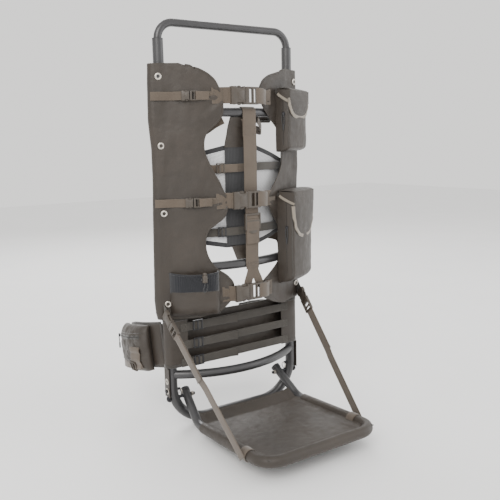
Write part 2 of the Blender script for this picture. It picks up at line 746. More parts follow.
LEFT_EDGE = [
    (-74, 866), (-62, 828), (-57, 790), (-74, 764), (-97, 742), (-104, 708), (-92, 668),
    (-67, 620), (-55, 580), (-58, 544), (-80, 525), (-100, 508), (-107, 480), (-102, 444),
    (-84, 416), (-58, 396), (-41, 372), (-44, 338), (-78, 308),
]
RIGHT_EDGE = [
    (75, 880), (52, 862), (47, 834), (62, 800), (90, 771), (114, 749), (130, 720),
    (133, 688), (127, 658), (108, 628), (84, 602), (72, 576), (79, 545), (99, 519),
    (117, 494), (126, 460), (118, 424), (88, 395), (52, 371), (38, 350), (46, 326), (94, 303),
]
PANEL_LOW, PANEL_HIGH = 293, 904
SLEEVE_START = 152
PANEL_T = 1.3


LEFT_REACH = [(293, 216), (309, 220), (347, 222), (589, 214), (706, 210), (775, 217), (904, 213)]
RIGHT_REACH = [(293, 211), (500, 212), (589, 211), (616, 213), (655, 216), (696, 215), (904, 211)]


def sleeve_reach(side, z):
    """How far out the loose sleeve's edge stands."""
    return between(LEFT_REACH if side < 0 else RIGHT_REACH, z)


def sleeve_section(side, z, start):
    """The panel's line across, from its inner edge out round the upright and back to the seam."""
    reach = sleeve_reach(side, z)
    lift = 1.5 + PANEL_T
    points = []
    for k in range(9):
        x = start + (max(SLEEVE_START, start + 4) - start) * k / 8
        points.append((x, bow(x, 1.6)))
    points += [
        (168, bow(168, 1.8)), (185, -TUBE_R - lift - 4.5), (reach - 9, -TUBE_R * 0.9 - 1),
        (reach - 2, -TUBE_R * 0.45), (reach, 1), (reach - 2.5, TUBE_R * 0.5),
        (reach - 10, TUBE_R + 0.5), (185, TUBE_R + lift + 0.6), (174, TUBE_R + 1.2),
        (165.5, 4), (159, -12), (154, bow(154, 0) + 1.4),
    ]
    return points


def creases(side, x, z, anchors):
    """Outward folds of the cloth: broad swells, and a fan of ridges from each strap's end."""
    a = abs(x)
    out = 5.4 * max(0.0, ripple(x, z * 0.6, 58, side * 3.1))
    out += 1.7 * ripple(x * 1.4, z * 0.6, 23, 7.7)
    out += 0.5 * ripple(x, z, 9, 2.2)
    for ax, az in anchors:
        dx, dz = a - abs(ax), z - az
        far = math.hypot(dx, dz)
        if far < 120 and dx > -20:
            turn = math.atan2(dz, dx + 18)
            fade = math.exp(-((far / 62) ** 2)) * min(1, far / 14)
            out += 4.4 * fade * (0.5 + 0.5 * math.cos(9 * turn + ax))
    edge = min(1.0, max(0.0, (z - PANEL_LOW) / 14), max(0.0, (PANEL_HIGH - z) / 14))
    return max(out, -0.2) * edge


def panel_grid(side, edge, rows=150):
    inner = [(side * 128, PANEL_LOW + 1.5)] + edge[::-1] + [(side * 108, 890),
                                                            (side * 140, PANEL_HIGH - 6)]
    inner = even(smooth(inner, 6), rows)
    low, high = inner[0][1], inner[-1][1]
    anchors = [(x, z) for x, z in edge if min(abs(z - h) for h in LACE_Z) < 14]
    grid = []
    for x, z in inner:
        outer_z = PANEL_LOW + (z - low) / (high - low) * (PANEL_HIGH - PANEL_LOW)
        line = smooth(sleeve_section(side, outer_z, abs(x)), 3)
        line = even(line, 64)
        row = []
        span = max(SLEEVE_START - abs(x), 1)
        for px, py in line:
            t = min(1, max(0, (px - abs(x)) / span)) if py < -13 else 1
            pz = z + (outer_z - z) * t
            fold = creases(side, px, pz, anchors)
            if py < -16 or px < 160:
                row.append((side * px, py - (fold if py < -14 else 0), pz))
            else:
                k = min(1, max(0, (px - 188) / 10))
                row.append((side * (px + fold * 0.5 * k), py, pz))
        grid.append(row)
    return np.array(grid, float)


def bound_edge(p, normals, width, thick, material, inset=3.0):
    """Binding tape folded over a sheet's edge; p and normals run along the edge."""
    d = directions(p)
    across = np.cross(normals, d)
    return ribbon(p + across * inset, across, width, thick, material)


def make_panel(name, side, edge, replaces):
    p = panel_grid(side, edge)
    flip = side > 0
    normal = grid_normals(p, flip)
    turn = -1 if side < 0 else 1
    parts = [grid_part(p, PANEL_T, CLOTH, flip)]
    parts.append(bound_edge(p[:, 0], normal[:, 0] * turn, 5, 2.6, CLOTH, 1.5))
    for row in (2, -3):
        parts.append(stitches(p[row, 3:-3] + normal[row, 3:-3] * (PANEL_T / 2), normal[row, 3:-3],
                              THREAD))
    seam = int(np.argmin(np.abs(np.abs(p[75, :40, 0]) - 157)))
    for column in (seam, seam + 2):
        line = p[3:-3, column] + normal[3:-3, column] * (PANEL_T / 2)
        parts.append(stitches(line, normal[3:-3, column], THREAD))
    obj = piece(name, parts, replaces=[replaces], smooth_angle=60)


make_panel("left_side_panel", -1, LEFT_EDGE, "left_panel")
make_panel("right_side_panel", 1, RIGHT_EDGE, "right_panel")


# ---------- buckles ----------


def socket(l, w, t, m, material=PLASTIC):
    """The socket half of a side-release buckle: mouth at x = 0, body towards -x."""
    notch = w * 0.13
    a, b = -l * 0.58, -l * 0.16
    face = rounded([(-l, -w * 0.44), (a - 3, -w / 2), (a, -w / 2 + notch), (b, -w / 2 + notch),
                    (b + 3, -w / 2), (0, -w * 0.47), (0, w * 0.47), (b + 3, w / 2),
                    (b, w / 2 - notch), (a, w / 2 - notch), (a - 3, w / 2), (-l, w * 0.44)], 2.4, 3)
    wall = t * 0.3
    parts = [slab(face, 0, wall, 0.8, material, m), slab(face, t - wall, t, 1.0, material, m)]
    crest = rounded([(-l * 0.55, -w * 0.2), (-l * 0.1, -w * 0.3),
                     (-l * 0.1, w * 0.3), (-l * 0.55, w * 0.2)], 3)
    parts.append(slab(crest, t - 0.4, t + 0.5, 0.5, material, m))
    parts.append(bar(-l * 0.72, -l * 0.6, -w * 0.44, w * 0.44, 0.4, t - 0.4, material, m, 0.8))
    for side in (-1, 1):
        y = sorted((side * w * 0.36, side * w * 0.48))
        parts.append(bar(-l, -l * 0.6, *y, 0.3, t - 0.3, material, m))
        parts.append(bar(b + 1, -0.4, *y, 0.3, t - 0.3, material, m))
    parts.append(bar(-l, -l * 0.88, -w * 0.44, w * 0.44, t * 0.15, t * 0.85, material, m, 1.2))
    return parts


def tongue(l, w, t, reach, m, material=PLASTIC):
    """The tongue half: ladder base towards +x, two sprung arms and a guide in the socket."""
    parts = []
    for side in (-1, 1):
        y = sorted((side * w * 0.36, side * w * 0.47))
        parts.append(bar(0.6, l, *y, 0.3, t - 0.3, material, m))
        arm = [(1, side * w * 0.44), (-reach * 0.16, side * w * 0.42),
               (-reach * 0.3, side * w * 0.5),
               (-reach * 0.5, side * w * 0.5), (-reach * 0.58, side * w * 0.4),
               (-reach * 0.5, side * w * 0.33), (-reach * 0.2, side * w * 0.3),
               (1, side * w * 0.34)]
        parts.append(slab(rounded(arm, 2, 3), t * 0.33, t * 0.67, 0.5, material, m))
        for k in range(3):
            x = -reach * (0.33 + 0.06 * k)
            grip = sorted((side * w * 0.47, side * w * 0.515))
            parts.append(bar(x - 0.5, x + 0.5, *grip, t * 0.3, t * 0.7, material, m, 0.3))
    parts.append(bar(-reach * 0.55, 1, -w * 0.05, w * 0.05, t * 0.36, t * 0.64, material, m, 0.5))
    for x0, x1, low, high in ((0.6, 0.3, 0.0, 1.0), (0.52, 0.64, 0.3, 1.0), (0.86, 1.0, 0.05, 0.8)):
        a, b = (0.6, l * 0.3) if low == 0 else (l * x0, l * x1)
        parts.append(bar(a, b, -w * 0.45, w * 0.45, t * low + 0.2, t * high - 0.2, material, m,
                         1.1))
    return parts


def ladder(l, w, t, m, material=PLASTIC, tab=False):
    """A ladder lock: side rims, three bars and, on some, a lift tab at +x."""
    parts = []
    for side in (-1, 1):
        y = sorted((side * w * 0.41, side * w * 0.5))
        parts.append(bar(-l / 2, l / 2, *y, 0, t, material, m, 1.2))
    for x, width, low, high in ((-0.43, 0.12, 0.1, 0.9), (-0.02, 0.15, 0.2, 1.0),
                                (0.41, 0.16, 0.0, 0.8)):
        parts.append(bar(l * (x - width / 2), l * (x + width / 2), -w * 0.46, w * 0.46,
                         t * low, t * high, material, m, 1.0))
    if tab:
        outline = rounded([(l * 0.42, -w * 0.34), (l * 0.72, -w * 0.2), (l * 0.72, w * 0.2),
                           (l * 0.42, w * 0.34)], 7, 5)
        parts.append(slab(outline, t * 0.35, t * 0.8, 0.8, material, m))
    return parts


def box_stitch(m, x0, x1, y0, y1, lift):
    """A sewn box with its cross, lying flat in local x and y."""
    corners = [(x0, y0), (x1, y0), (x1, y1), (x0, y1), (x0, y0)]
    out = m.to_3x3() @ Vector((0, 0, 1))
    parts = []
    lines = list(zip(corners, corners[1:])) + [((x0, y0), (x1, y1)), ((x0, y1), (x1, y0))]
    for a, b in lines:
        ends = [m @ Vector((*a, lift)), m @ Vector((*b, lift))]
        parts.append(stitches([tuple(e) for e in ends], tuple(out), THREAD, 3.4, 2.4, 0.4))
    return parts


# ---------- lacing straps across the front ----------

LACE_L, LACE_W, LACE_T = 39, 44, 11
LACE_X = -4
WIDE, NARROW = 38, 25
CLOTH_OUT = 3.0
LACE_Y = bow(0, CLOTH_OUT + 0.4 + WEB_T) - 0.4


def lace_frame(z):
    return basis((1, 0, 0), (0, 0, 1), (0, -1, 0), (LACE_X, LACE_Y, z))


def make_lacing():
    names = ("top", "middle", "bottom")
    ends = ((-84, 84), (-80, 96), (-72, 78))
    for name, z, (left, right) in zip(names, LACE_Z, ends):
        proud = CLOTH_OUT + 1.5
        parts = []
        y = LACE_Y - LACE_T * 0.5
        path = [(x, bow(x, proud), z + 0.03 * (x + 60)) for x in np.linspace(left, -50, 10)]
        path += [(-44, y + 3.2, z), (LACE_X - LACE_L + 2, y, z), (LACE_X - LACE_L + 8, y, z)]
        parts.append(ribbon(smooth(path, 3), (0, 0, 1), WIDE, WEB_T, WEBBING))
        back = [(LACE_X - LACE_L + 7, y + 3.0, z), (LACE_X - LACE_L - 4, y + 4.4, z),
                (-58, bow(-58, proud - 2.0), z), (-70, bow(-70, proud - 2.1), z)]
        parts.append(ribbon(smooth(back, 4), (0, 0, 1), WIDE * 0.98, WEB_T, WEBBING))
        m = on_bow(left + 15, z, proud + WEB_T / 2)
        parts += box_stitch(m, -11, 11, -14, 14, 0.3)
        right_end = LACE_X + LACE_L - 4
        path = [(right_end, y + 1, z), (right_end + 6, y, z), (right_end + 14, y + 2.4, z - 0.5)]
        path += [(x, bow(x, proud), z - 0.02 * (x - 40)) for x in np.linspace(58, right, 10)]
        parts.append(ribbon(smooth(path, 3), (0, 0, 1), WIDE, WEB_T, WEBBING))
        m = on_bow(right - 14, z, proud + WEB_T / 2)
        parts += box_stitch(m, -11, 11, -14, 14, 0.3)
        tail = [(right_end - 4, y - 4, z), (right_end + 6, y - 4.5, z),
                (right_end + 20, y - 0.5, z - 1),
                (right_end + 34, bow(right_end + 34, proud + 3.0), z - 3)]
        parts.append(ribbon(smooth(tail, 5), (0, 0, 1), WIDE * 0.97, WEB_T, WEBBING))
        piece(f"{name}_lacing_strap", parts, replaces=["lace_straps"])
        piece(f"{name}_lacing_socket", socket(LACE_L, LACE_W, LACE_T, lace_frame(z)),
              replaces=["lace_sockets"])
        piece(f"{name}_lacing_tongue", tongue(LACE_L, LACE_W, LACE_T, LACE_L, lace_frame(z)),
              body=f"{name}_buckle_clip", replaces=[f"{name}_clip"])


make_lacing()

SIDE_L, SIDE_W, SIDE_T = 19, 24, 8
SIDE_X = -134


def make_side_straps():
    for name, z in (("upper", middle_z("upper_side_clip")), ("lower", middle_z("lower_side_clip"))):
        proud = CLOTH_OUT + 1.6
        m = on_bow(SIDE_X, z, CLOTH_OUT + 0.4 + WEB_T + 1)
        lift = -SIDE_T / 2
        front = [(-214, -9, z), (-204, -18.5, z), (-191, -23, z)]
        front += [(x, bow(x, proud), z) for x in (-174, -166)]
        a = m @ Vector((-SIDE_L - 3, 0, -lift))
        b = m @ Vector((-SIDE_L + 4, 0, -lift))
        parts = [ribbon(smooth(front + [tuple(a), tuple(b)], 4), (0, 0, 1), 20, WEB_T, WEBBING)]
        a, b, c = (m @ Vector((SIDE_L + k, 0, 3.5)) for k in (-4, 3, 9))
        rest = [(x, bow(x, proud), z) for x in np.linspace(-104, -74, 6)]
        parts.append(ribbon(smooth([tuple(a), tuple(b), tuple(c)] + rest, 4), (0, 0, 1), 20, WEB_T,
                            WEBBING))
        tail = [tuple(m @ Vector((SIDE_L + k, 0, h))) for k,
                h in ((-5, 7), (3, 7.6), (14, 4.2), (26, 3.0))]
        parts.append(ribbon(smooth(tail, 4), (0, 0, 1), 19.5, WEB_T, WEBBING))
        parts += box_stitch(on_bow(-84, z, proud + WEB_T / 2), -7, 7, -8, 8, 0.3)
        piece(f"{name}_side_strap", parts, replaces=["panel_straps"])
        piece(f"{name}_side_socket", socket(SIDE_L, SIDE_W, SIDE_T, m),
              replaces=["panel_sockets"])
        piece(f"{name}_side_tongue", tongue(SIDE_L, SIDE_W, SIDE_T, SIDE_L, m),
              body=f"{name}_side_buckle_clip",
              replaces=[f"{name}_side_clip"])


make_side_straps()


# ---------- pockets ----------


def pocket_body(x, z0, w, h, depth, puff):
    """A stuffed box pocket standing out from the bow: walls and front in one sheet, with piping."""
    m = on_bow(x, z0, CLOTH_OUT)
    half = w / 2
    side_lift = 5.5

    def section(t):
        round_off = min(1.0, math.sqrt(max(0.0, 1 - (1 - min(t / 0.09, 1)) ** 2)) + 0.02)
        shrink = min(1.0, math.sqrt(max(0.0, 1 - (1 - min((1 - t) / 0.05, 1)) ** 2)) * 0.12 + 0.88)
        d = depth * round_off * shrink
        a = half * (0.955 + 0.045 * round_off)
        corners = [(-a + 1, -side_lift), (-a - puff * 0.25, d * 0.5), (-a + 1.5, d - 3),
                   (-a + 8, d + 0.5),
                   (-a * 0.4, d + puff), (0, d + puff * 1.25), (a * 0.4, d + puff),
                   (a - 8, d + 0.5),
                   (a - 1.5, d - 3), (a + puff * 0.25, d * 0.5), (a - 1, -side_lift)]
        return even(smooth(corners, 5), 56)

    grid = []
    rows = 48
    for j in range(rows + 1):
        t = j / rows
        row = []
        for lx, ly in section(t):
            fold = 1.6 * ripple(lx + x, z0 + h * t, 34, 5.0) + 0.7 * ripple(lx * 2, h * t, 12, 1.5)
            fold *= min(1, t / 0.1) * (1 if ly > depth * 0.6 else 0.5)
            row.append(tuple(m @ Vector((lx, h * t, ly + fold))))
        grid.append(row)
    p = np.array(grid, float)
    parts = [grid_part(p, 1.4, CLOTH)]
    normal = grid_normals(p)
    for column in (11, 45):
        line = p[4:, column] + normal[4:, column] * 0.9
        parts.append(cord_part(smooth(line[::4], 3), 1.25, BINDING, sides=7))
    hem = p[-2, :] + normal[-2, :] * 0.8
    parts.append(ribbon(hem, (0, 0, 1), 8, 1.2, BINDING))
    parts.append(stitches(p[5, 12:45] + normal[5, 12:45] * 0.8, normal[5, 12:45], THREAD))
    return parts, m


def zip_run(path, out, width=9.0):
    """A closed coil zip: tape, teeth and slider with a folded pull."""
    path = np.array(path, float)
    out = np.array(out, float)
    d = directions(path)
    across = np.cross(np.broadcast_to(out, path.shape), d)
    parts = [ribbon(path + out * 0.3, across, width, 1.0, CLOTH_DARK)]
    line = even(path + out * 1.1, max(4, int(path_length(path) / 2.2)))
    for a, b in zip(line[::2], line[1::2]):
        parts.append(cord_part([a, (a + b) / 2, b], 1.5, ZIP_TEETH, sides=6, flat=0.7))
    return parts


def zip_pull(at_point, down, out, length=26):
    """A slider with a looped pull hanging from it."""
    p, down, out = (np.array(v, float) for v in (at_point, down, out))
    across = np.cross(down, out)
    m = basis(across, -down, out, p)
    parts = [slab(rounded([(-3.2, -5), (3.2, -5), (4.2, 4), (-4.2, 4)], 2), 0.6, 3.6, 0.8,
                  BLACK_STEEL, m)]
    parts.append(bar(-1.2, 1.2, -4, 4, 3.2, 5.2, BLACK_STEEL, m, 0.6))
    loop = [p + out * 4.4 - down * 1, p + out * 4 + across * 2.4 + down * 6,
            p + across * 3 + out * 3.4 + down * length * 0.6,
            p + across * 1.6 + out * 3 + down * length, p - across * 1.6 + out * 3 + down * length,
            p - across * 3 + out * 3.4 + down * length * 0.6, p + out * 4 - across * 2.4 + down * 6]
    parts.append(cord_part(smooth(loop, 5, closed=True), 1.1, BLACK_WEBBING, closed=True, sides=8))
    grip = [p + out * 3 + down * (length - 4), p + out * 3 + down * (length + 4),
            p + out * 2.8 + down * (length + 11)]
    parts.append(cord_part(smooth(grip, 4), 2.6, BLACK_PLASTIC, sides=10, flat=0.8))
    return parts


def pocket_flap(x, z_top, w, depth, lip, puff, turned=0.5):
    """The flap: over the top, down the front with a rounded lip, and a cheek at each side."""
    m = on_bow(x, z_top, CLOTH_OUT)
    half = w / 2 + 3.2
    front = depth + 4.2

    def profile(u):
        """Height and depth at points down the flap, from its sewn rear edge to its lip."""
        swell = puff * (1 - abs(u) ** 3)
        drop = lip * (0.3 + 0.7 * max(0.0, 1 - abs(u) ** 2.8) ** 0.5)
        points = [(3.6, 1.0), (5.2 + swell * 0.3, depth * 0.35),
                  (4.6 + swell * 0.3, depth * 0.75), (2.2, front - 2),
                  (-4, front + swell * 0.5 + 0.8), (-drop * 0.55, front + swell + 0.6),
                  (-drop, front + swell * 0.35 - turned)]
        return points

    rows, cols = 34, 40
    grid = []
    lines = []
    for i in range(cols + 1):
        u = 2 * i / cols - 1
        lines.append(even(smooth(profile(u), 6), rows))
    for j in range(rows + 1):
        row = []
        for i in range(cols + 1):
            u = 2 * i / cols - 1
            lz, ly = lines[i][j]
            curl = 1.3 * ripple(u * half + x, lz * 1.5 + z_top, 26, 9.0) * (j / rows)
            row.append(tuple(m @ Vector((u * half, lz, ly + curl))))
        grid.append(row)
    p = np.array(grid, float)
    parts = [grid_part(p, 1.8, CLOTH, flip=True)]
    normal = grid_normals(p, True)
    parts.append(bound_edge(p[-1], normal[-1], 9, 3.4, TAN_BINDING, -2.5))
    seam = p[-4] + normal[-4] * 1.0
    parts.append(stitches(seam, normal[-4], THREAD))
    for side in (-1, 1):
        cheek = []
        for j in range(13):
            row = []
            for i in range(15):
                t = i / 14
                deep = (0.26 + 0.5 * t**0.8) * min(lip, 44) * 0.92 * (j / 12)
                ly = 3 + (front - 2.6) * t
                lz = 2.6 - 1.6 * t - deep
                row.append(tuple(m @ Vector((side * (half + 0.4 + 0.8 * math.sin(math.pi * t)), lz,
                                             ly))))
            cheek.append(row)
        c = np.array(cheek, float)
        parts.append(grid_part(c, 1.5, CLOTH, flip=side < 0))
        n = grid_normals(c, side < 0)
        parts.append(bound_edge(c[-1], n[-1], 7, 2.8, TAN_BINDING, 0))
        parts.append(cord_part(smooth(c[:, -1][::3], 3), 1.4, BINDING, sides=7))
    flat = (path_length(p[rows // 2]) * MM, path_length(p[:, cols // 2]) * MM)
    return parts, flat


def make_flap_pockets():
    specs = (("upper", 157, 694, 112, 152, 32, 64, 4.5),
             ("lower", 163, 352, 128, 238, 40, 114, 5.5))
    for name, x, z0, w, h, depth, lip, puff in specs:
        parts, m = pocket_body(x, z0, w, h, depth, puff)
        edge = [tuple(m @ Vector((-w / 2 - 0.4, h * t,
                                  depth * 0.52))) for t in np.linspace(0.12, 0.93, 20)]
        out = m.to_3x3() @ Vector((-1, 0, 0))
        parts += zip_run(edge, tuple(out))
        top = m @ Vector((-w / 2 - 1, h * 0.62, depth * 0.55))
        parts += zip_pull(tuple(top), (0, 0, -1), tuple(out), 30)
        piece(f"{name}_flap_pocket", parts, replaces=[f"{name}_pocket"],
              smooth_angle=55)
        parts, flat = pocket_flap(x, z0 + h, w, depth, lip, puff)
        flap = piece(f"{name}_pocket_flap_cloth", parts, body=f"{name}_pocket_flap",
                     replaces=[f"{name}_flap"], smooth_angle=55)


make_flap_pockets()

POUCH = (-190, -82, 301, 408)
POUCH_DEPTH = 20


def make_pouch():
    """The open pouch on the left panel: a full cloth front, a stretch band gathered at its top."""
    x0, x1, z0, z1 = POUCH

    def front(u, v):
        x = x0 + (x1 - x0) * u
        round_side = math.sqrt(max(0.0, 1 - abs(2 * u - 1) ** 5))
        round_foot = math.sqrt(max(0.0, 1 - (1 - min(v / 0.25, 1)) ** 2))
        full = POUCH_DEPTH * round_side * round_foot
        folds = 2.5 * ripple(x, z0 + 107 * v, 38, 4.4) + 0.8 * ripple(x, 107 * v, 12, 8.8)
        full += folds * round_side * round_foot
        return x, bow(x, CLOTH_OUT + max(full, 0.2)), z0 + (z1 - z0) * v

    split = 0.55
    parts = [sheet_part(lambda u, v: front(u, v * (split + 0.02)), 48, 30, 1.5, CLOTH, flip=True)]

    def band(u, v):
        x, y, z = front(u, split + (1 - split) * v)
        gather = 1.1 * math.sin(u * 2 * math.pi * 26) * (0.35 + 0.65 * v) * min(1, u * 12,
                                                                                (1 - u) * 12)
        sag = -5 * math.sin(math.pi * u) * v
        return x, y + 1.0 + gather * 0.6 + 2.0 * v * math.sin(math.pi * u), z + sag

    stretch = [sheet_part(band, 150, 22, 1.6, STRETCH, flip=True)]
    rim = [band(i / 60, 1.0) for i in range(61)]
    stretch.append(cord_part(rim, 2.3, STRETCH, sides=9))
    low = [band(i / 60, 0.0) for i in range(61)]
    parts.append(ribbon([(x, y - 0.9, z) for x, y, z in low], (0, 0, 1), 7, 1.2, BINDING))
    for u in (0.0, 1.0):
        side = [front(u, k / 20) for k in range(21)]
        parts.append(ribbon([(x, y - 0.6, z) for x, y, z in side], (1, 0, 0), 8, 1.4, BINDING))
    piece("left_pouch", parts, replaces=["left_pocket"], smooth_angle=55)
    obj = piece("pouch_stretch_band", stretch, replaces=["stretch_band"],
                smooth_angle=60)


make_pouch()


def make_cord_lock():
    low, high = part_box("cord_lock")
    x, y, z = (low.x + high.x) / 2 / MM, (low.y + high.y) / 2 / MM - PLANE, low.z / MM
    m = basis((1, 0, 0), (0, 1, 0), (0, 0, 1), (x, y, z))
    barrel = [(3.0, 0.0), (5.4, 0.2), (6.4, 1.4), (6.5, 6), (6.1, 8), (6.5, 10),
              (6.4, 16.6), (5.8, 17.8), (4.9, 18.0), (4.85, 14)]
    parts = [lathe(barrel, m, PLASTIC, 32)]
    loop = [(x - 6, y + 5, z + 6), (x - 8, y + 1, z + 9), (x - 6.6, y, z + 11), (x, y, z + 11),
            (x + 6.6, y, z + 11),
            (x + 9, y + 1, z + 10), (x + 7, y + 5, z + 7)]
    parts.append(cord_part(smooth(loop, 5), 1.3, BLACK_WEBBING, sides=8))
    tail = [(x + 2, y, z + 1), (x + 4, y - 5.5, z - 6), (x + 1, y - 6.5, z - 16),
            (x - 4, y - 5, z - 22),
            (x - 8, y - 5, z - 15), (x - 4, y - 5.5, z - 6), (x - 1, y, z + 1)]
    parts.append(cord_part(smooth(tail, 5), 1.3, BLACK_WEBBING, sides=8))
    piece("pouch_cord_lock", parts, replaces=["cord_lock"])
    button = [(0.0, 0.0), (4.4, 0.0), (4.5, 12), (4.9, 13.2), (4.9, 15.6),
              (4.2, 16.8), (2.5, 17.0), (2.2, 16.4), (0.0, 16.4)]
    top = basis((1, 0, 0), (0, 1, 0), (0, 0, 1), (x, y, z + 7))
    piece("pouch_lock_button", [lathe(button, top, PLASTIC, 32)], body="lock_button",
          replaces=["cord_lock_plunger"])


make_cord_lock()

# ---------- vertical strap ----------

STRAP_X = 16
STRAP_Y = -BOW_DEPTH - BAR_R - 1.4


def make_vertical_strap():
    low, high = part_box("strap_slider")
    lock_z = (low.z + high.z) / 2 / MM
    lock_y = high.y / MM - PLANE
    front = STRAP_Y
    wrap_r = BAR_R + 1.4
    wrap = [(STRAP_X, -BOW_DEPTH - wrap_r * math.cos(t), UPPER_BAR + wrap_r * math.sin(t))
            for t in np.linspace(math.radians(-12), math.radians(222), 22)]
    back = [(STRAP_X, front + 5.4, UPPER_BAR - 20), (STRAP_X, front + 2.2, UPPER_BAR - 32),
            (STRAP_X, front + 2.0, UPPER_BAR - 58)]
    hang = [(STRAP_X, front + 1.2, lock_z + 60), (STRAP_X, front, lock_z + 120),
            (STRAP_X, front - 0.5, UPPER_BAR - 90)]
    upper = [(STRAP_X, lock_y - 2, lock_z - 4), (STRAP_X, lock_y - 3.5, lock_z + 8),
             (STRAP_X, lock_y - 1.4, lock_z + 24)]
    path = smooth(upper + hang, 6) + [np.array(p) for p in wrap] + smooth(back, 4)
    parts = [ribbon(path, (1, 0, 0), WIDE, WEB_T, WEBBING)]
    m = basis((1, 0, 0), (0, 0, 1), (0, -1, 0), (STRAP_X, front - 1.2, UPPER_BAR - 44))
    parts += box_stitch(m, -14, 14, -11, 11, 0.2)
    fork_z = 404
    drop = [(STRAP_X, lock_y - 4.2, lock_z - 8), (STRAP_X, lock_y - 0.4, lock_z - 24),
            (STRAP_X + 0.4, front - 0.8, lock_z - 50),
            (STRAP_X, front + 0.3, MIDDLE_BAR + 12), (STRAP_X, front - 1.0, fork_z)]
    parts.append(ribbon(smooth(drop, 8), (1, 0, 0), WIDE, WEB_T, WEBBING))
    tail = [(STRAP_X, lock_y - 5.5, lock_z + 6), (STRAP_X, lock_y - 6.5, lock_z - 10),
            (STRAP_X + 0.6, lock_y - 3.6, lock_z - 30),
            (STRAP_X + 1, lock_y - 2.6, lock_z - 56)]
    parts.append(ribbon(smooth(tail, 6), (1, 0, 0), WIDE * 0.98, WEB_T, WEBBING))
    for side in (-1, 1):
        leg = [(STRAP_X + side * 2, front - 1.4, fork_z + 14),
               (STRAP_X + side * 6, front - 1.8, fork_z - 8),
               (STRAP_X + side * 15, front - 3.0, LACE_Z[2] + 26),
               (STRAP_X + side * 20, front - 4.2, LACE_Z[2] + 8)]
        parts.append(ribbon(smooth(leg, 6), (0.96, 0, side * 0.28), 23, WEB_T, WEBBING))
    m = basis((1, 0, 0), (0, 0, 1), (0, -1, 0), (STRAP_X, front - 2.6, fork_z + 8))
    parts += box_stitch(m, -15, 15, -7, 7, 0.3)
    piece("vertical_strap_webbing", parts, replaces=["vertical_strap"])
    m = basis((0, 0, -1), (1, 0, 0), (0, -1, 0), (STRAP_X, lock_y, lock_z))
    piece("vertical_strap_ladder_lock", ladder(42, 46, 7, m, tab=True),
          replaces=["strap_slider"])


make_vertical_strap()


# ---------- back band ----------

MESH_HALF, MESH_DEPTH = 167, 57
MESH_R = (MESH_HALF**2 + MESH_DEPTH**2) / (2 * MESH_DEPTH)
SPINE_W = 90
MESH_TOP = [(-MESH_HALF, 684), (-SPINE_W / 2, 712), (SPINE_W / 2, 712), (MESH_HALF, 672)]
MESH_LOW = [(-MESH_HALF, 486), (-SPINE_W / 2, 462), (SPINE_W / 2, 462), (MESH_HALF, 492)]


def on_mesh(x, z, proud=0.0):
    return (x, MESH_R - MESH_DEPTH - math.sqrt((MESH_R + proud) ** 2 - x * x), z)


def make_back_band():
    xs = np.linspace(-157, 157, 70)
    p = np.array([[on_mesh(x,
                           between(MESH_LOW, x) + (between(MESH_TOP, x) - between(MESH_LOW, x)) * v,
                           -1.4 + 0.8 * ripple(x, v * 200, 40)) for x in xs]
                  for v in np.linspace(0, 1, 30)])
    parts = [grid_part(p, 2.2, MESH)]
    for row in (0, -1):
        inset = (0, 0, 5 if row == 0 else -5)
        parts.append(ribbon(p[row] + inset, (0, 0, 1), 12, 3.6, BLACK_WEBBING))
    band = piece("mesh_back_band", parts, replaces=["mesh_band"],
                 smooth_angle=60)
    parts = []
    spine = np.array([[on_mesh(x, z, 1.8) for x in np.linspace(-SPINE_W / 2, SPINE_W / 2, 24)]
                      for z in np.linspace(466, 708, 40)])
    parts.append(grid_part(spine, 1.8, RIBBED))
    for z, right in ((658, DARK_WEBBING), (502, DARK_WEBBING)):
        left = WEBBING if z > 600 else DARK_WEBBING
        for x0, x1, kind in ((-156, 6, left), (6, 156, right)):
            path = [on_mesh(x, z + 1.5 * math.sin(x / 40), 4.4) for x in np.linspace(x0, x1, 24)]
            parts.append(ribbon(path, (0, 0, 1), 20, WEB_T, kind))
        tail = [on_mesh(x, z, 6.6 + 0.02 * abs(x + 46)) for x in np.linspace(-62, -14, 10)]
        parts.append(ribbon(tail, (0, 0, 1), 19.5, WEB_T, left))
        point = Vector(on_mesh(-59, z, 4.6))
        out = Vector((-59, point.y - (MESH_R - MESH_DEPTH), 0)).normalized()
        along = Vector((-out.y, out.x, 0))
        parts += ladder(22, 25, 5, basis(along, (0, 0, 1), out, point),
                        PLASTIC if z > 600 else BLACK_PLASTIC)
    piece("mesh_cross_straps", parts, replaces=["mesh_straps"],
          smooth_angle=55)


def make_ties():
    upper = [(94, -MESH_DEPTH - 1, 708), (86, -MESH_DEPTH - 2, 730), (72, -BOW_DEPTH + 4, 758),
             (66, -BOW_DEPTH - 3, UPPER_BAR - BAR_R - 1)]
    lower = [(66, -MESH_DEPTH - 1, 464), (56, -MESH_DEPTH - 3, 448),
             (46, -BOW_DEPTH - 3, MIDDLE_BAR + BAR_R + 1)]
    parts = []
    for rows in (upper, lower):
        line = np.array(smooth(rows, 6))
        p = np.array([[(w * (u - 0.5), y - 1.6 * ripple(w * u, z, 22, 3),
                        z) for u in np.linspace(0, 1, 22)]
                      for w, y, z in line])
        parts.append(grid_part(p, 2.6, CLOTH))
        for side in (0, -1):
            edge = p[:, side] + ((3 if side == 0 else -3), 0, 0)
            parts.append(stitches(edge + (0, -1.5, 0), (0, -1, 0), THREAD))
    piece("back_band_ties", parts, replaces=["mesh_ties"], smooth_angle=60)


make_back_band()
make_ties()

# ---------- shoulder straps ----------

PAD_X, PAD_W, PAD_T = 70, 60, 12.5
PAD_PARTS_AT, PAD_SLOPE = 790, 0.0875
PAD_LINE = [(-36, 772), (-10, 794), (22, 800), (48, 776), (60, 720), (64, 620), (60, 500)]


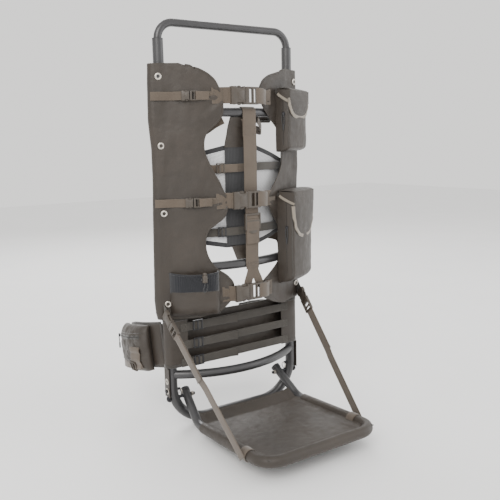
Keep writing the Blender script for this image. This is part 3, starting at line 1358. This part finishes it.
def cushion(point, across, along, thick, edge=0.3, seed=0.0):
    """A stuffed piece round the surface point(u, v), full in the middle and thin at its rim."""
    p = np.array([[point(i / across,
                         j / along) for i in range(across + 1)] for j in range(along + 1)], float)
    u = np.abs(np.linspace(-1, 1, across + 1))[None, :]
    v = np.abs(np.linspace(-1, 1, along + 1))[:, None]
    full = ((1 - u**3.2) * (1 - v**10)) ** 0.5
    pucker = np.array([[ripple(i * 3.1, j * 3.1, 9, seed) for i in range(across + 1)]
                       for j in range(along + 1)])
    return p, thick * (edge + (1 - edge) * full) * (1 + 0.07 * pucker * full)


def edged(p, width, thick, material, sides=(0, 1, 2, 3)):
    """Binding tape folded round a cushion's rim."""
    rims = (p[:, 0], p[:, -1], p[0], p[-1])
    n = grid_normals(p)
    normals = (n[:, 0], n[:, -1], n[0], n[-1])
    turns = (1, -1, -1, 1)
    return [bound_edge(rims[k], normals[k] * turns[k], width, thick, material, 1.5) for k in sides]


def make_shoulder_strap(name, side):
    line = even(np.array([(0, y, z) for y, z in smooth(PAD_LINE, 8)]), 90)

    def spread(z):
        """How far from the middle the pad lies: the two part below the shoulders."""
        return PAD_X + max(0.0, PAD_PARTS_AT - z) * PAD_SLOPE

    def point(u, v):
        k = min(int(v * 89), 88)
        y, z = (line[k] + (line[k + 1] - line[k]) * (v * 89 - k))[1:]
        return (side * spread(z) + (u - 0.5) * PAD_W, y, z)

    p, thick = cushion(point, 20, 100, PAD_T, seed=side)
    pad = piece(f"{name}_pad", [grid_part(p, thick, CLOTH, True)] + edged(p, 7, 5, BINDING),
                replaces=[f"{name}_strap"], smooth_angle=60)
    normal = grid_normals(p, True)
    mid = p[8:, 10] + normal[8:, 10] * 7.4
    parts = [ribbon(mid, (1, 0, 0), 25, WEB_T, WEBBING)]
    low = p[-1, 10]
    run = [tuple(low + (0, -1, 8)), tuple(low), (side * 128, 44, 474), (side * 172, 27, 458),
           (side * 177, 21, 420), (side * 176, 20, 360), (side * 176, 21, 302)]
    path = even(smooth(run, 8), 60)
    parts.append(ribbon(path, (side * 0.8, 0, 0.6), 25, WEB_T, WEBBING))
    lift = [(side * 50, -60, 774), (side * 66, -46, 764), (side * 84, -24, 748),
            (side * 88, 6, 752)]
    parts.append(ribbon(smooth(lift, 6), (0.2 * side, 0.2, 1), 20, WEB_T, WEBBING))
    piece(f"{name}_webbing", parts, replaces=[f"{name}_strap"], smooth_angle=50)


for shoulder, hand in (("left_shoulder", -1), ("right_shoulder", 1)):
    make_shoulder_strap(shoulder, hand)

# ---------- lumbar band ----------

LUMBAR_LOW, LUMBAR_HIGH = 165, 292


def make_lumbar():
    half = [(145, -16.4), (165, -16.8), (180, -16.6), (194, -13.5), (201.5, -3), (200, 8),
            (190, 15.5),
            (176, 16.5), (156, 12.5), (120, 9.4), (80, 5.4), (40, 3.4), (0, 2.6)]
    line = [(-x, y) for x, y in half] + half[-2::-1]
    flat = even(np.array([(x, y, 0) for x, y in smooth(line, 5)]), 150)
    p = np.array([[(x, y + 0.8 * ripple(x, z, 24, 5), z) for x, y, _ in flat]
                  for z in np.linspace(LUMBAR_LOW, LUMBAR_HIGH, 36)])
    inside = np.clip((158 - np.abs(p[..., 0])) / 22, 0, 1) * (p[..., 1] > -12)
    rise = 1 - np.abs(np.linspace(-1, 1, 36))[:, None] ** 4
    thick = 1.8 + 8.2 * inside * (0.35 + 0.65 * rise)
    parts = [grid_part(p, thick, CLOTH)]
    for row in (0, -1):
        parts.append(ribbon(p[row] + (0, 0, 4 if row == 0 else -4), (0, 0, 1), 9, 3.4, BINDING))
    pad = piece("lumbar_pad", parts, replaces=["lumbar_band"], smooth_angle=60)
    straps, locks = [], []
    for z in (268, 222, 176):
        path = [(x, -18.3, z + 0.012 * x) for x in np.linspace(-165, 165, 40)]
        straps.append(ribbon(path, (0, 0, 1), 21, WEB_T, DARK_WEBBING))
        tail = [(-132, -19.5, z - 1), (-118, -23.5, z - 1), (-104, -21.6, z - 1),
                (-60, -20.6, z - 1.5),
                (-20, -20.8, z - 2), (0, -22.5, z - 3)]
        straps.append(ribbon(smooth(tail, 6), (0, 0, 1), 20.5, WEB_T, DARK_WEBBING))
        locks += ladder(28, 26, 6, basis((1, 0, 0), (0, 0, 1), (0, -1, 0), (-118, -19.6, z)),
                        BLACK_PLASTIC)
        for side in (-1, 1):
            m = basis((1, 0, 0), (0, 0, 1), (0, -1, 0), (side * 156, -19.2, z + side * 1.9))
            straps += box_stitch(m, -7, 7, -8, 8, 0.3)
    piece("lumbar_webbing", straps, replaces=["lumbar_straps"])
    piece("lumbar_ladder_locks", locks, replaces=["lumbar_sliders"])


make_lumbar()

# ---------- hip belt ----------

HIP_X, HIP_Y = 71.8, 140
DROOP_Y, DROOP_Z = 30, 215  # the belt turns down about this line
DROOP = math.radians(11)


def hip(side, r, degrees, z):
    """A point on the hip belt's curve, which droops to the front."""
    a = math.radians(degrees)
    y, z = HIP_Y + r * math.sin(a) - DROOP_Y, z - DROOP_Z
    return (side * (r * math.cos(a) - HIP_X), DROOP_Y + y * math.cos(DROOP) + z * math.sin(DROOP),
            DROOP_Z - y * math.sin(DROOP) + z * math.cos(DROOP))


def make_belt_side(name, side):
    def wing(u, v):
        narrow = 1 - 0.16 * max(0.0, v - 0.6) / 0.4
        return hip(side, 275, -20.5 + 44.5 * v, 214 + 54 * (2 * u - 1) * narrow)

    p, thick = cushion(wing, 26, 60, 13.5, seed=side * 2)
    pad = piece(f"{name}_wing_pad",
                [grid_part(p, thick, CLOTH, side > 0)] + edged(p, 8, 5, BINDING),
                replaces=[f"{name}_belt_wing"], smooth_angle=60)

    rows, cols = 60, 70
    bulge = np.array([[((1 - abs(2 * i / cols - 1) ** 5) * (1 - abs(2 * j / rows - 1) ** 4)) ** 0.45
                       for i in range(cols + 1)] for j in range(rows + 1)])
    wrinkle = np.array([[ripple(i * 1.6, j * 1.6, 17, side) + 0.4 * ripple(i * 1.6, j * 1.6, 6, 9)
                         for i in range(cols + 1)] for j in range(rows + 1)])
    reach = 30 * bulge * (1 + 0.1 * wrinkle)
    q = np.array([[hip(side, 283.2 + reach[j, i] / 2, -13 + 34 * i / cols, 150 + 116 * j / rows)
                   for i in range(cols + 1)] for j in range(rows + 1)])
    parts = [grid_part(q, reach + 1.2, CLOTH, side < 0)]
    face = np.array([[hip(side, 284 + reach[j, i], -13 + 34 * i / cols, 150 + 116 * j / rows)
                      for i in range(cols + 1)] for j in range(rows + 1)])
    out = grid_normals(face, side < 0)
    row = 46
    parts += zip_run(face[row, 6:-6], out[row, 6:-6], 10)
    parts += zip_pull(face[row, 60] + out[row, 60] * 2, (0, 0, -1), out[row, 60], 26)
    for row in (15, 51):
        parts.append(cord_part(face[row, 2:-2] + out[row, 2:-2] * 0.4, 1.0, BINDING))
    for i in range(2):
        path = face[4:34, 14] + out[4:34, 14] * 1.6 if i == 0 else face[8, 8:52] + out[8,
                                                                                       8:52] * 2.2
        across = np.cross(out[20, 14], (0, 0, 1)) if i == 0 else (0, 0, 1)
        parts.append(ribbon(path, across, 40 if i == 0 else 20, WEB_T, WEBBING))
    c, n = Vector(face[8, 20]), Vector(out[8, 20])
    along = Vector((0, 0, 1)).cross(n).normalized()
    parts += ladder(24, 26, 6, basis(along, n.cross(along), n, c + n * 2.4))
    return parts


pockets = make_belt_side("left", -1) + make_belt_side("right", 1)
piece("hip_belt_pockets", pockets, replaces=["belt_pockets"], smooth_angle=55)


def make_belt_front():
    m = basis((1, 0, 0), (0, 0, -1), (0, 1, 0), (0, 294.4, 168))
    parts = []
    for side in (-1, 1):
        xs = np.linspace(LACE_L - 6, 176, 40)
        path = [(side * x, -95.8 + math.sqrt(388.9**2 - x * x), 168) for x in xs]
        path = [(side * (LACE_L - 6), 299.5, 168), (side * (LACE_L + 2), 298, 168)] + path[8:]
        parts.append(ribbon(smooth(path, 3), (0, 0, 1), WIDE, WEB_T, WEBBING))
    piece("belt_webbing_runs", parts + socket(LACE_L, LACE_W, LACE_T, m),
          replaces=["belt_webbing"])
    piece("belt_tongue", tongue(LACE_L, LACE_W, LACE_T, LACE_L, m), body="belt_buckle_clip",
          replaces=["belt_clip"])


make_belt_front()
finish_nodes(CLOTH, "webbing", "lower_tabs")
finish_nodes(BLACK_PLASTIC, "black_plastic", "shelf_caps")

# ---------- load shelf ----------

SHELF_X = 155
APRON_ROWS = 8
SLEEVE_R = BAR_R + 2
SHELF_BACK, SHELF_FRONT = np.array((0.0, -77, 29)), np.array((0.0, -376, 50))
SHELF_ALONG = (SHELF_FRONT - SHELF_BACK) / np.linalg.norm(SHELF_FRONT - SHELF_BACK)
SHELF_UP = np.array((0, -SHELF_ALONG[2], -SHELF_ALONG[1]))
SHELF_UP = SHELF_UP * (1 if SHELF_UP[2] > 0 else -1)


def filleted(points, radii, steps=10):
    """A line through the points with each corner turned on its radius."""
    points = [np.array(p, float) for p in points]
    out = [points[0]]
    for a, b, c, r in zip(points, points[1:], points[2:], radii):
        u, w = (a - b) / np.linalg.norm(a - b), (c - b) / np.linalg.norm(c - b)
        half = math.acos(float(np.clip(np.dot(u, w), -1, 1))) / 2
        reach = r / math.tan(half)
        start, end = b + u * reach, b + w * reach
        middle = (u + w) / np.linalg.norm(u + w)
        centre = b + middle * (r / math.sin(half))
        swing = math.pi - 2 * half
        e1 = (start - centre) / r
        e2 = (end - centre) / r - e1 * math.cos(swing)
        e2 /= np.linalg.norm(e2)
        for k in range(steps + 1):
            t = swing * k / steps
            out.append(centre + r * (e1 * math.cos(t) + e2 * math.sin(t)))
    return out + [points[-1]]


def make_shelf():
    def arm(side, t):
        return np.array((side * (146 + 9 * t), -77 * t, 81 - 52 * t))

    left, right = np.array((-SHELF_X, 0, 0)), np.array((SHELF_X, 0, 0))
    corners = [arm(-1, -0.15), SHELF_BACK + left, SHELF_FRONT + left, SHELF_FRONT + right,
               SHELF_BACK + right, arm(1, -0.15)]
    path = filleted(corners, (60, 45, 45, 60))
    piece("shelf_frame_tube", [cord_part(path, BAR_R, TUBE, sides=28)], body="shelf",
          replaces=["shelf_tube"])

    sleeve = filleted([SHELF_BACK + left + SHELF_ALONG * 26, SHELF_FRONT + left,
                       SHELF_FRONT + right,
                       SHELF_BACK + right + SHELF_ALONG * 26], (45, 45))
    sleeve = even(sleeve, 200)
    parts = [cord_part(sleeve, SLEEVE_R, CLOTH, sides=28)]
    rise = np.array((0, math.cos(math.radians(34)), math.sin(math.radians(34))))
    rows = []
    for s in np.concatenate([np.linspace(-34, 0, APRON_ROWS), np.linspace(6, 299, 60)]):
        row = []
        for x in np.linspace(-150, 150, 70):
            rim = min(1.0, (150 - abs(x)) / 24, max(0.0, 299 - s) / 24)
            drop = 8.5 - 11 * (1 - (1 - rim) ** 2) - 3.5 * math.sin(math.pi * (x + 150) / 300) * rim
            drop += rim * (1.8 * ripple(x, s, 60, 1) + 0.9 * ripple(x + s, x - s, 24, 4))
            base = SHELF_BACK + (SHELF_ALONG * s if s > 0 else -rise * s)
            row.append(base + SHELF_UP * drop + (x, 0, 0))
        rows.append(row)
    p = np.array(rows)
    parts.append(grid_part(p, 1.4, CLOTH, True))
    n = grid_normals(p, True)
    for row in (APRON_ROWS + 56, 1):
        parts.append(stitches(p[row, 4:-4] + n[row, 4:-4] * 0.8, n[row, 4:-4], THREAD))
    for column in (6, -7):
        parts.append(stitches(p[8:-5, column] + n[8:-5, column] * 0.8, n[8:-5, column], THREAD))
    canvas = piece("shelf_deck_cloth", parts, body="shelf",
                   replaces=["shelf_canvas"],
                   smooth_angle=60)

    loops = []
    for side in (-1, 1):
        centre = SHELF_BACK + SHELF_ALONG * 224 + (side * SHELF_X, 0, 0)
        ring = [centre + 14.6 * (math.cos(t) * np.array((1, 0, 0)) + math.sin(t) * SHELF_UP)
                for t in np.linspace(0, 2 * math.pi, 33)[:-1]]
        loops.append(ribbon(ring, SHELF_ALONG, 25, WEB_T, WEBBING, closed=True))
    piece("strap_anchor_loops", loops, body="shelf", replaces=["strap_loops"])


make_shelf()

# ---------- shelf side straps ----------

STRAP_FROM, STRAP_TO = np.array((207.0, 0, 332)), np.array((172.0, -300, 45))


def make_shelf_strap(name, side):
    d = (STRAP_TO - STRAP_FROM) / np.linalg.norm(STRAP_TO - STRAP_FROM)
    normal = np.cross(d, np.cross((1, 0, 0), d))
    normal /= np.linalg.norm(normal)
    across = np.cross(normal, d)
    hand = np.array((side, 1, 1))

    def along(s, n=0.0):
        return (STRAP_FROM + d * s + normal * n) * hand

    def run(steps, material=WEBBING):
        table_s, table_n = zip(*steps)
        ss = np.linspace(table_s[0], table_s[-1], 50)
        path = [along(s, float(np.interp(s, table_s, table_n))) for s in ss]
        return ribbon(path, across * hand, NARROW, WEB_T, material)

    body = f"{name}_strap_top"
    strip = piece(f"{name}_shelf_strap", [run([(94, 4), (103, 2), (225, 2), (245, 0), (423, 0)])],
                  body=None,
                  replaces=[f"{name}_strap_upper", f"{name}_strap_lower"])
    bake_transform(strip)
    tab = [run([(-13, 0), (28, 0), (34, 2)], DARK_WEBBING),
           run([(96, 6), (104, 4.1), (215, 4.1), (224, 5)])]
    tab += [lathe(EYELET, basis(d * hand, across * hand, normal * hand, along(0, 0.8)), NICKEL)]
    piece(f"{name}_shelf_strap_tail", tab, body=body,
          replaces=[f"{name}_strap_upper"])
    m = basis(d * hand, across * hand, normal * hand, along(64, -1.8))
    piece(f"{name}_shelf_strap_socket", socket(35, 31, 9, m), body=body,
          replaces=[f"{name}_strap_socket"])
    piece(f"{name}_shelf_strap_tongue", tongue(36, 31, 9, 35, m), body=body,
          replaces=[f"{name}_strap_tongue"])


make_shelf_strap("left", -1)
make_shelf_strap("right", 1)
